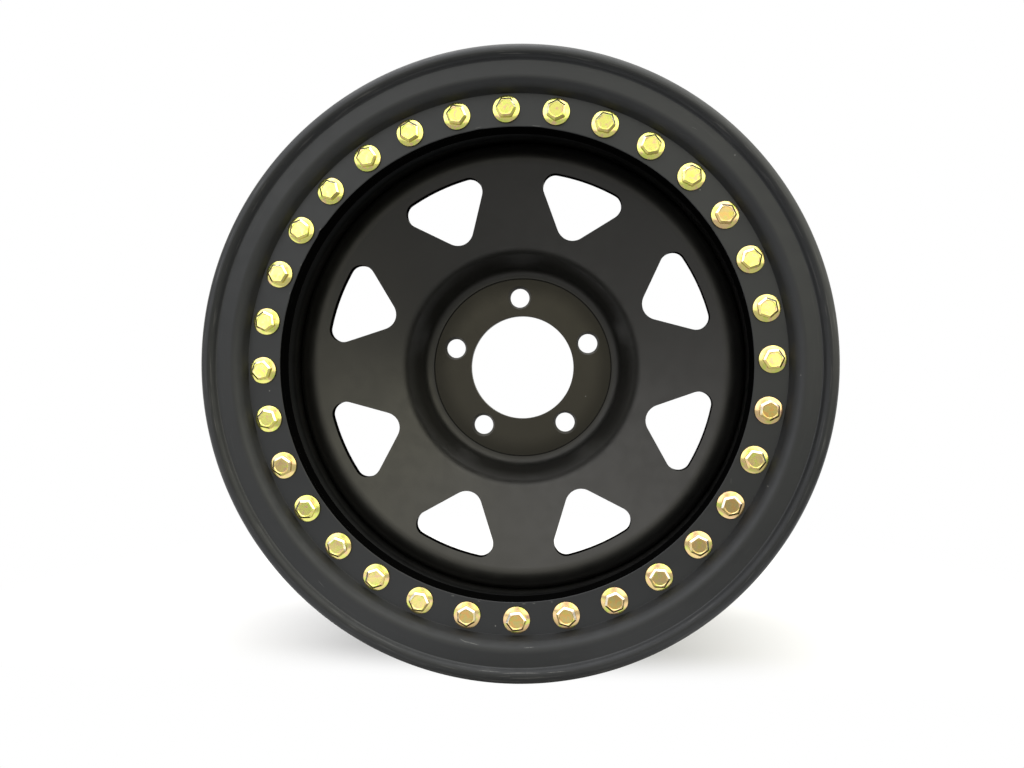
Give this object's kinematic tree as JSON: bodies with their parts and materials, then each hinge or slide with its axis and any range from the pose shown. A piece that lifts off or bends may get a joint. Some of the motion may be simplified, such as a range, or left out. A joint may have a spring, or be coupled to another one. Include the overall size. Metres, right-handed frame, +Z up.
{
  "type": "beadlock wheel",
  "caption": "Black steel off-road wheel with a windowed pressed centre, a drop-centre rim and a clamp ring bolted over the outboard tyre bead",
  "frame": {"origin": "centre of the hub face, on the axle", "axes": "Y along the axle with -Y outboard, X to the right seen from outboard, Z up"},
  "size_m": [0.4273, 0.2005, 0.4274],
  "materials": {
    "black_coat": "satin",
    "yellow_zinc": "satin"
  },
  "bodies": {
    "root": {"rim_barrel": "black_coat", "wheel_disc": "black_coat", "disc_welds": "black_coat", "anchor_ring": "black_coat", "clamp_ring": "black_coat", "ring_bolts": "yellow_zinc"}
  },
  "joints": []
}
